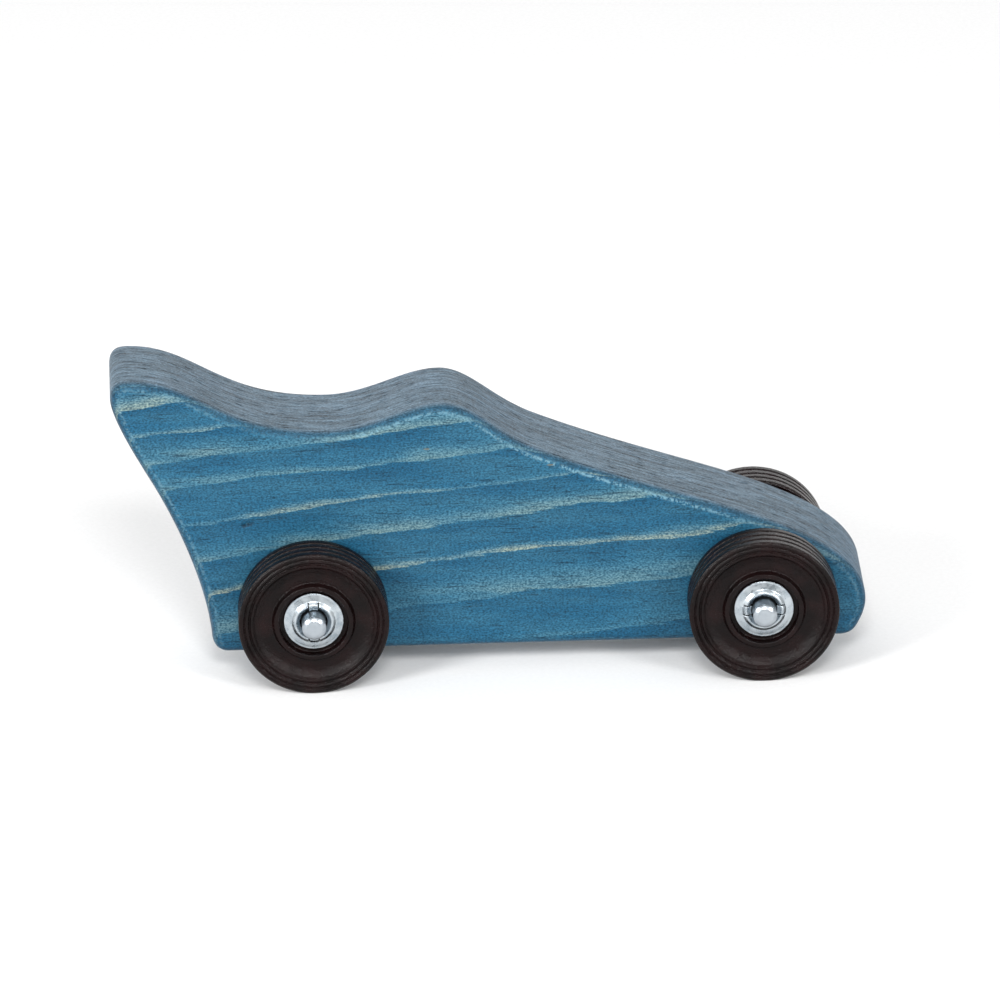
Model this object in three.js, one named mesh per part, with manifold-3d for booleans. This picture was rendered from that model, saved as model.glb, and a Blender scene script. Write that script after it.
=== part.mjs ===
// A small push-along toy car, in millimetres, +Z up.
//
// One board is sawn to a racing-car outline and drilled across for two steel axles. Each axle
// carries, from the board outwards, a flat washer, a moulded wheel and a push nut that grips
// the axle's end. The car points along +X and stands on z = 0; the origin is at the middle of
// its length and width, on the floor.

import * as THREE from 'three';
import { mergeVertices } from 'three/addons/utils/BufferGeometryUtils.js';
import Module from 'manifold-3d';

// ---- Driving dimensions ----------------------------------------------------------------

const BOARD_THICKNESS = 38.1; // dressed board, 1 1/2 in
const BOARD_DROP = 16.6; // axles down to the underside of the board
const EDGE_ROUND = 3.2; // rounding along both edges of the board
const TAIL_OVERHANG = 67.6; // rear axle to the tip of the tail
const WHEELBASE = 154.4;
const NOSE_OVERHANG = 36.1; // front axle to the tip of the nose
const TAIL_RISE = 84.0; // axles up to the crest of the tail

const WHEEL_DIAMETER = 51.6; // nominal 2 in
const WHEEL_WIDTH = 14.0;
const RIB_COUNT = 4; // ribs round the tread, with a groove between each two
const GROOVE_WIDTH = 1.1;
const GROOVE_DEPTH = 0.9;
const SHOULDER = 0.6; // rounding from the tread to the face
const LIP_RADIUS = 21.1; // outer edge of the dish in the wheel's face
const LIP_SETBACK = 0.5; // how far the lip lies behind the wheel's shoulder
const DISH_FOOT_RADIUS = 14.4; // foot of the dish, at the hub
const DISH_DEPTH = 2.8;
const DISH_CURVE = 0.8; // share of the dish's depth that is left halfway across it
const HUB_RADIUS = 13.5;
const HUB_SETBACK = 0.9; // how far the hub lies behind the wheel's shoulder, outside
const RECESS_RADIUS = 11.9; // recess in the hub that holds the push nut

const AXLE_DIAMETER = 8.3;
const AXLE_LENGTH = 78.3;
const AXLE_CHAMFER = 0.7;

const WASHER_DIAMETER = 22.2;
const WASHER_HOLE = 9.5;
const WASHER_THICKNESS = 1.3;

const NUT_DIAMETER = 21.1;
const NUT_SHEET = 0.7; // thickness of the pressed sheet
const NUT_CROWN_HEIGHT = 3.4;
const NUT_CROWN_RADIUS = 6.0;
const NUT_STEP_RADIUS = 8.3; // where the flat flange meets the crown
const NUT_PLACE = 31.1; // middle plane of the car to the back of the nut's flange

const CLEARANCE = 0.3; // between pieces that touch or turn on each other

// ---- Derived places --------------------------------------------------------------------

const LENGTH = TAIL_OVERHANG + WHEELBASE + NOSE_OVERHANG;
const REAR_AXLE_X = TAIL_OVERHANG - LENGTH / 2;
const FRONT_AXLE_X = REAR_AXLE_X + WHEELBASE;
const AXLE_HEIGHT = WHEEL_DIAMETER / 2;
const BORE_RADIUS = AXLE_DIAMETER / 2 + CLEARANCE;

// Distances from the middle plane outwards, along an axle.
const WASHER_PLACE = BOARD_THICKNESS / 2 + CLEARANCE;
const WHEEL_PLACE = WASHER_PLACE + WASHER_THICKNESS + CLEARANCE;
const RECESS_FLOOR = NUT_PLACE - CLEARANCE - WHEEL_PLACE; // in the wheel's own frame

// ---- Fineness of the round shapes --------------------------------------------------------

const WHEEL_SIDES = 32;
const SMALL_SIDES = 24;
const OUTLINE_STEPS = 12; // steps along each curve of the board's outline
const EDGE_STEPS = 3; // steps round the rounded edge

// ---- Materials ---------------------------------------------------------------------------

const stainedPine = () =>
  new THREE.MeshStandardMaterial({ color: 0x35718f, roughness: 0.62, metalness: 0 });
const darkPlastic = () =>
  new THREE.MeshStandardMaterial({ color: 0x1d1615, roughness: 0.42, metalness: 0 });
const brightZinc = () =>
  new THREE.MeshStandardMaterial({ color: 0xb9c4c9, roughness: 0.28, metalness: 1 });
const drawnSteel = () =>
  new THREE.MeshStandardMaterial({ color: 0xc2c6c8, roughness: 0.35, metalness: 1 });

// ---- Helpers -------------------------------------------------------------------------------

const wasm = await Module();
wasm.setup();

/** The solid enclosed by a closed geometry. */
function toSolid(geometry) {
  const bare = geometry.clone();
  bare.deleteAttribute('normal');
  bare.deleteAttribute('uv');
  const merged = mergeVertices(bare);
  return new wasm.Manifold(
    new wasm.Mesh({
      numProp: 3,
      vertProperties: new Float32Array(merged.attributes.position.array),
      triVerts: new Uint32Array(merged.index.array),
    }),
  );
}

/** The geometry of a solid's surface. */
function toGeometry(solid) {
  const { vertProperties, triVerts } = solid.getMesh();
  const geometry = new THREE.BufferGeometry();
  geometry.setAttribute('position', new THREE.BufferAttribute(vertProperties, 3));
  geometry.setIndex(new THREE.BufferAttribute(triVerts, 1));
  return geometry;
}

/** A ring or disc turned about the Y axis, from [radius, distance along the axle] pairs. */
function turned(profile, sides) {
  const points = profile.map(([radius, along]) => new THREE.Vector2(radius, along));
  return new THREE.LatheGeometry(points, sides);
}

/** A mesh with a name, a geometry and a material of its own. */
function piece(name, geometry, material) {
  const mesh = new THREE.Mesh(geometry, material);
  mesh.name = name;
  return mesh;
}

// ---- The board -------------------------------------------------------------------------------

/** The sawn outline in x and z, both measured from the rear axle. */
function boardOutline() {
  const tail = -TAIL_OVERHANG;
  const nose = WHEELBASE + NOSE_OVERHANG;
  const under = -BOARD_DROP;
  const crest = TAIL_RISE;
  const outline = new THREE.Shape();
  outline.moveTo(-28.9, under);
  outline.lineTo(181.5, under);
  outline.quadraticCurveTo(185.6, under, 187.4, -13.4); // lower corner of the nose
  outline.bezierCurveTo(189.0, -10.6, nose, -7.2, nose, -3.8); // underside of the nose
  outline.bezierCurveTo(nose, 14.0, 165.4, 24.8, 136.7, 34.5); // nose and front of the bonnet
  outline.bezierCurveTo(117.0, 41.1, 97.5, 47.2, 78.0, 55.5); // bonnet
  outline.bezierCurveTo(63.1, 61.8, 55.9, 73.0, 45.2, 73.0); // up to the crest of the cowl
  outline.bezierCurveTo(33.0, 73.0, 21.5, 64.1, 6.3, 64.1); // down into the seat
  outline.bezierCurveTo(-31.3, 64.1, -36.5, crest, -59.8, crest); // up the tail
  outline.bezierCurveTo(-64.8, crest, tail, 80.5, tail, 76.5); // tip of the tail
  outline.bezierCurveTo(tail, 69.9, -58.0, 53.7, -54.2, 46.7); // back of the tail
  outline.bezierCurveTo(-45.6, 31.1, -36.0, 7.2, -34.7, -10.9); // back of the board
  outline.quadraticCurveTo(-34.0, under, -28.9, under); // lower rear corner
  return outline;
}

/** A drill that goes right through the board at one axle, x measured from the rear axle. */
function drill(x) {
  const cylinder = new THREE.CylinderGeometry(
    BORE_RADIUS, BORE_RADIUS, BOARD_THICKNESS * 2, SMALL_SIDES,
  );
  cylinder.translate(x, 0, 0);
  return toSolid(cylinder);
}

/** The board: extruded across its thickness, its edges rounded, drilled for both axles. */
function board() {
  const flat = BOARD_THICKNESS - 2 * EDGE_ROUND;
  const block = new THREE.ExtrudeGeometry(boardOutline(), {
    depth: flat,
    curveSegments: OUTLINE_STEPS,
    bevelThickness: EDGE_ROUND,
    bevelSize: EDGE_ROUND,
    bevelOffset: -EDGE_ROUND,
    bevelSegments: EDGE_STEPS,
  });
  block.translate(0, 0, -flat / 2);
  block.rotateX(Math.PI / 2);
  const drilled = toSolid(block).subtract(drill(0)).subtract(drill(WHEELBASE));
  return toGeometry(drilled);
}

// ---- Turned and pressed pieces ------------------------------------------------------------------

/** A wheel with its inner face at y = 0 and its outer face towards +y. */
function wheel() {
  const radius = WHEEL_DIAMETER / 2;
  const dishMiddle = (LIP_RADIUS + DISH_FOOT_RADIUS) / 2;
  const grooves = [];
  for (let i = 1; i < RIB_COUNT; i += 1) {
    const middle = (WHEEL_WIDTH * i) / RIB_COUNT;
    grooves.push(
      [radius, middle - GROOVE_WIDTH / 2],
      [radius - GROOVE_DEPTH, middle],
      [radius, middle + GROOVE_WIDTH / 2],
    );
  }
  const profile = [
    [BORE_RADIUS, 0],
    [HUB_RADIUS, 0],
    [DISH_FOOT_RADIUS, DISH_DEPTH],
    [dishMiddle, DISH_DEPTH * DISH_CURVE],
    [LIP_RADIUS, LIP_SETBACK],
    [radius - SHOULDER, 0],
    [radius, SHOULDER],
    ...grooves,
    [radius, WHEEL_WIDTH - SHOULDER],
    [radius - SHOULDER, WHEEL_WIDTH],
    [LIP_RADIUS, WHEEL_WIDTH - LIP_SETBACK],
    [dishMiddle, WHEEL_WIDTH - DISH_DEPTH * DISH_CURVE],
    [DISH_FOOT_RADIUS, WHEEL_WIDTH - DISH_DEPTH],
    [HUB_RADIUS, WHEEL_WIDTH - HUB_SETBACK],
    [RECESS_RADIUS, WHEEL_WIDTH - HUB_SETBACK],
    [RECESS_RADIUS, RECESS_FLOOR],
    [BORE_RADIUS, RECESS_FLOOR],
    [BORE_RADIUS, 0],
  ];
  return turned(profile, WHEEL_SIDES);
}

/** A plain washer with its inner face at y = 0. */
function washer() {
  const profile = [
    [WASHER_HOLE / 2, 0],
    [WASHER_DIAMETER / 2, 0],
    [WASHER_DIAMETER / 2, WASHER_THICKNESS],
    [WASHER_HOLE / 2, WASHER_THICKNESS],
    [WASHER_HOLE / 2, 0],
  ];
  return turned(profile, SMALL_SIDES);
}

/** A push nut pressed from sheet, its flange at y = 0 and its crown towards +y. */
function pushNut() {
  const crownFoot = NUT_STEP_RADIUS - NUT_SHEET;
  const profile = [
    [crownFoot, 0],
    [NUT_DIAMETER / 2, 0],
    [NUT_DIAMETER / 2, NUT_SHEET],
    [NUT_STEP_RADIUS, NUT_SHEET],
    [NUT_CROWN_RADIUS + NUT_SHEET / 2, NUT_CROWN_HEIGHT - NUT_SHEET / 2],
    [NUT_CROWN_RADIUS, NUT_CROWN_HEIGHT],
    [NUT_CROWN_RADIUS - NUT_SHEET, NUT_CROWN_HEIGHT - NUT_SHEET],
    [BORE_RADIUS, NUT_SHEET * 2],
    [BORE_RADIUS, NUT_SHEET],
    [NUT_CROWN_RADIUS - NUT_SHEET, NUT_CROWN_HEIGHT - 2 * NUT_SHEET],
    [crownFoot, 0],
  ];
  return turned(profile, SMALL_SIDES);
}

/** An axle along Y with its middle at y = 0 and a chamfer at each end. */
function axle() {
  const radius = AXLE_DIAMETER / 2;
  const end = AXLE_LENGTH / 2;
  const profile = [
    [0, -end],
    [radius - AXLE_CHAMFER, -end],
    [radius, -end + AXLE_CHAMFER],
    [radius, end - AXLE_CHAMFER],
    [radius - AXLE_CHAMFER, end],
    [0, end],
  ];
  return turned(profile, SMALL_SIDES);
}

// ---- The assembly ------------------------------------------------------------------------------

/** Everything on one side of one axle, built outwards along +y from the middle plane. */
function wheelStack(prefix) {
  const stack = new THREE.Group();
  const spacer = piece(`${prefix}_washer`, washer(), brightZinc());
  spacer.position.y = WASHER_PLACE;
  const rolling = piece(`${prefix}_wheel`, wheel(), darkPlastic());
  rolling.position.y = WHEEL_PLACE;
  const nut = piece(`${prefix}_push_nut`, pushNut(), brightZinc());
  nut.position.y = NUT_PLACE;
  stack.add(spacer, rolling, nut);
  return stack;
}

/** An axle with its left and right stacks; the right one is the left one turned about Z. */
function axleSet(end, x) {
  const set = new THREE.Group();
  set.position.set(x, 0, AXLE_HEIGHT);
  const left = wheelStack(`${end}_left`);
  const right = wheelStack(`${end}_right`);
  right.rotation.z = Math.PI;
  set.add(piece(`${end}_axle`, axle(), drawnSteel()), left, right);
  return set;
}

const car = new THREE.Group();
const carBoard = piece('body_board', board(), stainedPine());
carBoard.position.set(REAR_AXLE_X, 0, AXLE_HEIGHT);
car.add(carBoard, axleSet('rear', REAR_AXLE_X), axleSet('front', FRONT_AXLE_X));

export default car;
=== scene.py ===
"""Blender model of a push-along wooden toy car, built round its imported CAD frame.

One sawn and stained board rolls on four moulded wheels, which turn on two steel axles and are
kept on by push nuts. Every length is in metres unless its name ends in _mm, and every piece lies
in the CAD frame: +X to the nose, +Y to the left, +Z up, with the wheels standing on z = 0.
"""

import logging
import math
from dataclasses import dataclass, field
from enum import Enum
from functools import partial
from typing import Callable, Iterable, Sequence, Union

import bpy
import numpy as np
from mathutils import Matrix, Vector, geometry, noise


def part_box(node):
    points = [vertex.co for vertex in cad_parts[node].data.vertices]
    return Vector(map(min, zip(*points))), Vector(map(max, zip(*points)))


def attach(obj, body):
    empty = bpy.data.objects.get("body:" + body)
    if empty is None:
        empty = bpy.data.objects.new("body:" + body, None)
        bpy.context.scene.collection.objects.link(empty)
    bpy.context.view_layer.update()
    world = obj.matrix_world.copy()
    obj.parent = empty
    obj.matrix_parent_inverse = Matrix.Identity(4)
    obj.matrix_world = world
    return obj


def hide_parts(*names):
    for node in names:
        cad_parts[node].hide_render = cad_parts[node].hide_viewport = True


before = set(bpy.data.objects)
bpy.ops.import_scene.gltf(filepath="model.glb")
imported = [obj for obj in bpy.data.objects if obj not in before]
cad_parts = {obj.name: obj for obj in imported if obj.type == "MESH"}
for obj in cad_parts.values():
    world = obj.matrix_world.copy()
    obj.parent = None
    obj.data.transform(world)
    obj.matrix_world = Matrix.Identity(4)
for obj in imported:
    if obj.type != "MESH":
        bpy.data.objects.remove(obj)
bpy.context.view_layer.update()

MM = 0.001
LOG = logging.getLogger("toy_car")

Point = tuple[float, float]
Colour = tuple[float, float, float, float]
Feed = Union[bpy.types.NodeSocket, str, float, Sequence[float]]

# Settings of shader nodes
TIMES = {"operation": "MULTIPLY"}
PLUS = {"operation": "ADD"}
TIMES_PLUS = {"operation": "MULTIPLY_ADD"}
SMOOTH = {"interpolation_type": "SMOOTHSTEP"}
MIX = {"data_type": "RGBA", "output": 2}

FULL_NOISE = (0.3, 0.7)  # nearly all of a noise's values lie between these
NEARLY_STRAIGHT = 0.01  # radians; a corner that turns less is left as it is
ON_AXIS = 1e-9  # metres; a radius below this is a single point
MERGE_MM = 1e-6  # points closer than this are one point when a flat side is filled


# ---- Names that come in pairs ---------------------------------------------------------------


class End(Enum):
    """An end of the car, as its nodes are named."""

    REAR = "rear"
    FRONT = "front"


class Side(Enum):
    """A side of the car, as its nodes are named."""

    LEFT = "left"
    RIGHT = "right"

    @property
    def turn(self) -> float:
        """The turn about Z, in radians, that points a piece made towards +Y to this side."""
        return 0.0 if self is Side.LEFT else math.pi


# ---- Small tools for shaders ----------------------------------------------------------------


def linear(code: str) -> Colour:
    """Turns an sRGB hex colour into a linear one.

    Args:
        code: The colour as "#rrggbb".

    Returns:
        Linear red, green and blue, and an alpha of 1.
    """
    parts = [int(code[i : i + 2], 16) / 255 for i in (1, 3, 5)]
    red, green, blue = (
        c / 12.92 if c <= 0.04045 else ((c + 0.055) / 1.055) ** 2.4 for c in parts
    )
    return (red, green, blue, 1.0)


def add_node(
    tree: bpy.types.NodeTree,
    kind: str,
    inputs: Union[Sequence[Feed], dict] = (),
    output: Union[int, str] = 0,
    stops: Sequence[tuple] = (),
    **settings: object,
) -> bpy.types.NodeSocket:
    """Adds a shader node with its settings, values and links.

    Args:
        tree: The node tree that gets it.
        kind: Blender's name for the kind of node, without its "ShaderNode".
        inputs: What the inputs get, in order, or by index or name. Each is a socket to link, a
            number, a vector or a hex colour.
        output: The output that is handed on, by index or name.
        stops: The places of a colour ramp, each with a hex colour or with linear numbers.
        **settings: The node's own properties.

    Returns:
        The chosen output of the new node.
    """
    node = tree.nodes.new("ShaderNode" + kind)
    for name, value in settings.items():
        setattr(node, name, value)
    for socket, feed in inputs.items() if isinstance(inputs, dict) else enumerate(inputs):
        if isinstance(feed, bpy.types.NodeSocket):
            tree.links.new(feed, node.inputs[socket])
        else:
            node.inputs[socket].default_value = linear(feed) if isinstance(feed, str) else feed
    for i, (place, colour) in enumerate(stops):
        ramp = node.color_ramp.elements
        element = ramp[i] if i < len(ramp) else ramp.new(place)
        element.position = place
        element.color = linear(colour) if isinstance(colour, str) else (*colour, 1.0)
    return node.outputs[output]


def new_material(name: str) -> tuple[bpy.types.Material, bpy.types.Node]:
    """Makes a material that holds one Principled shader.

    Args:
        name: The material's name.

    Returns:
        The material and its shader.
    """
    material = bpy.data.materials.new(name)
    material.use_nodes = True
    return material, material.node_tree.nodes["Principled BSDF"]


# ---- Finishes -------------------------------------------------------------------------------


@dataclass(frozen=True)
class StainedPine:
    """Flat-sawn pine wiped with blue stain and a thin satin coat.

    The soft early wood drinks the stain and goes deep blue, and the hard late wood sheds it, so
    each ring shows as a pale band with a crisp lower edge and a soft upper one. Places and sizes
    are in millimetres.
    """

    name: str = "blue_stained_pine"
    deep: str = "#12435d"
    blue: str = "#194b65"
    pale_blue: str = "#356275"
    late_wood: str = "#587476"
    cream: str = "#80887a"
    # painted sheen: the sawn edges, the top among them, are greyed as if they caught the bright
    # backdrop at a grazing angle
    edge_sheen_grey: str = "#5a6a76"
    pore: str = "#0a2535"
    # paler line along the arris: scuffed fibres and a painted highlight
    scuff_and_highlight: str = "#6c93a3"
    resin: str = "#6b5a33"
    ior: float = 1.5
    gloss: float = 0.17
    roughness: float = 0.46
    ring_slope: float = 0.1077  # how far the rings rise for each millimetre forwards
    ring_bow: float = 0.0000946  # how fast that rise dies away
    ring_rate: float = 0.04906  # rings for each millimetre up, at the floor
    ring_gain: float = 0.0002136  # how much closer they lie higher up
    ring_start: float = -1.481
    ring_depth: float = 3.1  # growth in a ring, as the board's edges show it
    half_thickness: float = 19.05
    # For each ring from the lowest up: the width of its pale band as a share of the ring, how
    # strong the band is and how creamy.
    bands: tuple = (
        (0.15, 0.25, 0.3),
        (0.5, 0.5, 0.35),
        (0.15, 0.9, 0.8),
        (0.36, 0.6, 0.35),
        (0.16, 0.65, 0.65),
        (0.45, 0.55, 0.25),
        (0.45, 0.65, 0.35),
        (0.2, 0.6, 0.55),
        (0.45, 0.9, 0.6),
        (0.2, 0.4, 0.4),
    )
    wave: tuple = (70.0, 30.0, 15.0)  # slow wandering of the rings
    ragged: tuple = (11.0, 2.0, 0.8)  # fibres that blur the rings' edges
    cloud: tuple = (42.0, 14.0, 7.0)  # uneven drinking of the stain
    patch: tuple = (55.0, 12.0, 9.0)  # where a band shows more or less
    fibre: tuple = (7.0, 0.5, 0.5)
    dash: tuple = (8.0, 0.7, 0.42)  # open pores on the flat sides
    cluster: tuple = (26.0, 9.0, 7.0)  # where those pores gather
    edge_fibre: tuple = (16.0, 1.3, 1.0)  # along the sawn edges, and across them
    edge_dash: tuple = (5.0, 0.75, 1.0)
    grit: tuple = (0.8, 0.5, 0.5)
    torn: tuple = (0.9, 0.9, 0.9)  # broken fibres along the rubbed edges
    fleck_reach: float = 0.9
    flecks: tuple = ((-21.4, 83.0), (20.6, 76.0))  # specks of resin on the side, in x and z
    fleck_squeeze: tuple = (0.6, 1.0, 2.0)  # how much a speck is narrowed in x, y and z
    fleck_rag: float = 0.7  # how far the grit frays its rim
    fleck_blur: float = 0.3
    fleck_strength: float = 0.5
    # Brightness across a pale band, from its crisp lower edge to its soft upper one.
    band_shape: tuple = ((0.0, 0.0), (0.05, 0.9), (0.2, 0.75), (0.5, 0.32), (1.0, 0.0))
    # How a noise or a mask is spread: its two ends, and what they become if that isn't 0 and 1.
    on_edges: tuple = (0.9, 0.25)  # by how far the surface faces sideways
    on_sides: tuple = (0.25, 0.9)
    # painted shade on the nose, spread by how far the surface faces forwards
    nose_shading: tuple = (0.35, 0.95, 0.0, 0.6)  # by how far it faces forwards
    early_blend: tuple = (0.4, 1.0, 0.0, 0.85)
    clouding: tuple = (0.35, 0.7, 0.0, 0.35)
    haloing: tuple = (0.0, 0.4, 0.0, 0.75)
    banding: tuple = (0.1, 0.85, 0.0, 0.95)
    patching: tuple = (0.36, 0.62, 0.45, 1.0)
    edge_fade: tuple = (0.0, 1.0, 1.0, 0.35)
    speckling: tuple = (0.34, 0.66, 0.7, 1.12)
    clustering: tuple = (0.4, 0.6)
    dashing: tuple = (0.6, 0.67)
    edge_dashing: tuple = (0.54, 0.66)
    edge_lines: tuple = (*FULL_NOISE, -0.5, 0.5)
    fibre_tone: tuple = (*FULL_NOISE, 0.9, 1.1)
    grit_tone: tuple = (*FULL_NOISE, -0.5, 0.5)
    soaking: tuple = (0.36, 0.62, 0.2, 1.0)
    scuff_and_highlight_spread: tuple = (0.4, 0.6)
    # Shares and weights.
    wander: float = 0.7  # how far the slow wave shifts the rings, in rings
    blur: tuple = (0.2, -0.45)  # how far the fibres shift them, and a shift of them all
    # how strongly the painted edge sheen is laid on
    edge_sheen_share: float = 0.78
    pore_tint: float = 0.7
    pore_roughness: float = 0.2
    uneven_roughness: float = 0.05
    pore_relief: float = -0.9
    fibre_relief: float = 0.5
    ridge_relief: float = 1.0
    grit_relief: float = 0.3
    scuff_relief: float = 0.8
    relief_strength: float = 0.7
    relief_mm: float = 0.09
    noise_offset: float = 3.7  # between two noises, so that no two are alike

    def noises(self, node: Callable, place: Feed, edge_place: Feed) -> dict[str, Feed]:
        """Adds the noises that the wood is drawn with.

        Args:
            node: Adds a node to the material.
            place: Where a point lies in the board, in millimetres.
            edge_place: Where it lies along the sawn edge and across it.

        Returns:
            Each noise's value, by the name of its size.
        """
        found = {}
        for name, detail, source in (
            ("wave", 2.0, place),
            ("ragged", 3.0, place),
            ("cloud", 3.0, place),
            ("patch", 2.0, place),
            ("fibre", 3.0, place),
            ("dash", 2.0, place),
            ("cluster", 1.0, place),
            ("grit", 2.0, place),
            ("torn", 3.0, place),
            ("edge_fibre", 4.0, edge_place),
            ("edge_dash", 2.0, edge_place),
        ):
            offset = self.noise_offset * len(found)
            scaled = node("Mapping", {
                "Vector": source,
                "Location": (offset, offset, offset),
                "Scale": [1 / length for length in getattr(self, name)],
            })
            found[name] = node("TexNoise", {"Vector": scaled, "Scale": 1.0, "Detail": detail})
        return found

    def late_bands(self, node: Callable, place: Feed, grain: dict, edge: Feed) -> tuple:
        """Counts the growth rings and finds the pale bands of late wood.

        Args:
            node: Adds a node to the material.
            place: Where a point lies in the board, in millimetres.
            grain: The noises.
            edge: 1 on the sawn edges and 0 on the flat sides.

        Returns:
            How far through its ring a point lies, how much late wood shows and how creamy it is.
        """
        x, y, z = node("SeparateXYZ", (place,)).node.outputs
        level = node("Math", (x, -self.ring_slope, z), **TIMES_PLUS)
        bow = node("Math", (node("Math", (x, x), **TIMES), self.ring_bow), **TIMES)
        height = node("Math", (level, bow), **PLUS)
        rate = node("Math", (height, self.ring_gain, self.ring_rate), **TIMES_PLUS)
        upwards = node("Math", (height, rate, self.ring_start), **TIMES_PLUS)
        depth = self.ring_depth
        inwards = node("Math", (y, 1 / depth, self.half_thickness / depth), **TIMES_PLUS)
        blur = node("Math", (grain["ragged"], *self.blur), **TIMES_PLUS)
        wander = node("Math", (grain["wave"], self.wander, blur), **TIMES_PLUS)
        count = node("Math", (node("Math", (upwards, inwards), **PLUS), wander), **PLUS)
        ring = node("Math", (count,), operation="FLOOR")
        through = node("Math", (count,), operation="FRACT")
        places = [(i + 0.5) / len(self.bands) for i in range(len(self.bands))]
        table = node("ValToRGB", (
            node("Math", (ring, 1 / len(self.bands), places[1]), **TIMES_PLUS),
        ), stops=tuple(zip(places, self.bands)))
        width, strength, creamy = node("SeparateColor", (table,)).node.outputs
        across = node("Math", (through, width), operation="DIVIDE")
        shape = [(place, (value,) * 3) for place, value in self.band_shape]
        late = node("ValToRGB", (node("Math", (across, 0.5), **TIMES),), stops=shape)
        late = node("Math", (late, strength), **TIMES)
        patched = node("MapRange", (grain["patch"], *self.patching), **SMOOTH)
        late = node("Math", (late, patched), **TIMES)
        late = node("Math", (late, node("MapRange", (edge, *self.edge_fade))), **TIMES)
        speckled = node("MapRange", (grain["grit"], *self.speckling), **SMOOTH)
        return through, node("Math", (late, speckled), **TIMES), creamy

    def build(self) -> bpy.types.Material:
        """Makes the material.

        Returns:
            The material.
        """
        material, shader = new_material(self.name)
        node = partial(add_node, material.node_tree)
        place = node("VectorMath", {0: node("TexCoord", output="Object"), "Scale": 1 / MM},
                     operation="SCALE")
        across = node("SeparateXYZ", (place,), output=1)
        run = node("Attribute", output="Fac", attribute_name="run")
        grain = self.noises(node, place, node("CombineXYZ", (run, across)))

        # 1 on the sawn edges and 0 on the two flat sides; painted shade on the nose, which faces
        # away from the key lamp.
        normal = node("TexCoord", output="Normal")
        facing_x, facing_y, _ = node("SeparateXYZ", (normal,)).node.outputs
        sideways = node("Math", (facing_y,), operation="ABSOLUTE")
        edge = node("MapRange", (sideways, *self.on_edges), **SMOOTH)
        flat = node("MapRange", (sideways, *self.on_sides), **SMOOTH)
        nose_shade = node("MapRange", (facing_x, *self.nose_shading))
        through, late, creamy = self.late_bands(node, place, grain, edge)

        # Early wood, paler where it drank less stain, and late wood.
        wood = node("Mix", {
            0: node("MapRange", (through, *self.early_blend), **SMOOTH),
            6: self.blue, 7: self.deep,
        }, **MIX)
        clouded = node("MapRange", (grain["cloud"], *self.clouding), **SMOOTH)
        wood = node("Mix", {0: clouded, 6: wood, 7: self.pale_blue}, **MIX)
        halo = node("MapRange", (late, *self.haloing), **SMOOTH)
        wood = node("Mix", {0: halo, 6: wood, 7: self.pale_blue}, **MIX)
        pale = node("Mix", {0: creamy, 6: self.late_wood, 7: self.cream}, **MIX)
        banded = node("MapRange", (late, *self.banding), **SMOOTH)
        wood = node("Mix", {0: banded, 6: wood, 7: pale}, **MIX)
        # Painted sheen: the sawn edges are greyed as if lit by the bright backdrop at a grazing
        # angle.
        tinted = node("Math", (edge, self.edge_sheen_share), **TIMES)
        wood = node("Mix", {0: tinted, 6: wood, 7: self.edge_sheen_grey}, **MIX)
        # Painted shade: faces that look forwards, at the nose, are darkened towards the deepest
        # blue.
        wood = node("Mix", {0: nose_shade, 6: wood, 7: self.deep}, **MIX)

        # Open pores, fibres and grit.
        clusters = node("MapRange", (grain["cluster"], *self.clustering), **SMOOTH)
        gathered = node("Math", (clusters, flat), **TIMES)
        dashes = node("MapRange", (grain["dash"], *self.dashing), **SMOOTH)
        dash = node("Math", (dashes, gathered), **TIMES)
        edge_dashes = node("MapRange", (grain["edge_dash"], *self.edge_dashing), **SMOOTH)
        edge_dash = node("Math", (edge_dashes, edge), **TIMES)
        pores = node("Math", (dash, edge_dash), **PLUS)
        tinted = node("Math", (pores, self.pore_tint), **TIMES)
        wood = node("Mix", {0: tinted, 6: wood, 7: self.pore}, **MIX)
        along = node("MapRange", (grain["edge_fibre"], *self.edge_lines))
        lines = node("Math", (along, edge), **TIMES)
        fibres = node("MapRange", (grain["fibre"], *self.fibre_tone))
        grit = node("MapRange", (grain["grit"], *self.grit_tone))
        tone = node("Math", (node("Math", (fibres, lines), **PLUS), grit), **PLUS)
        wood = node("HueSaturation", {"Color": wood, "Value": tone})

        # The rounded edges drink more stain, and along the arris a paler line is laid: partly
        # fibres scuffed back, partly a painted highlight.
        soaked = node("Attribute", output="Fac", attribute_name="soaked")
        mottled = node("MapRange", (grain["torn"], *self.soaking), **SMOOTH)
        soaked = node("Math", (soaked, mottled), **TIMES)
        wood = node("Mix", {0: soaked, 6: wood, 7: self.pore}, **MIX)
        arris = node("Attribute", output="Fac", attribute_name="arris")
        torn = node("MapRange", (grain["torn"], *self.scuff_and_highlight_spread), **SMOOTH)
        scuff_and_highlight_mask = node("Math", (arris, torn), **TIMES)
        wood = node("Mix", {0: scuff_and_highlight_mask, 6: wood, 7: self.scuff_and_highlight}, **MIX)

        # Flecks of resin that shed the stain.
        for fleck_x, fleck_z in self.flecks:
            offset = node("VectorMath", (place, (fleck_x, -self.half_thickness, fleck_z)),
                          operation="SUBTRACT")
            squeezed = node("VectorMath", (offset, self.fleck_squeeze), operation="MULTIPLY")
            reach = node("VectorMath", (squeezed,), output=1, operation="LENGTH")
            reach = node("Math", (grain["grit"], self.fleck_rag, reach), **TIMES_PLUS)
            outer = self.fleck_reach + self.fleck_blur
            limits = (reach, outer, self.fleck_reach, 0.0, self.fleck_strength)
            fleck = node("MapRange", limits, **SMOOTH)
            wood = node("Mix", {0: fleck, 6: wood, 7: self.resin}, **MIX)

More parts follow.
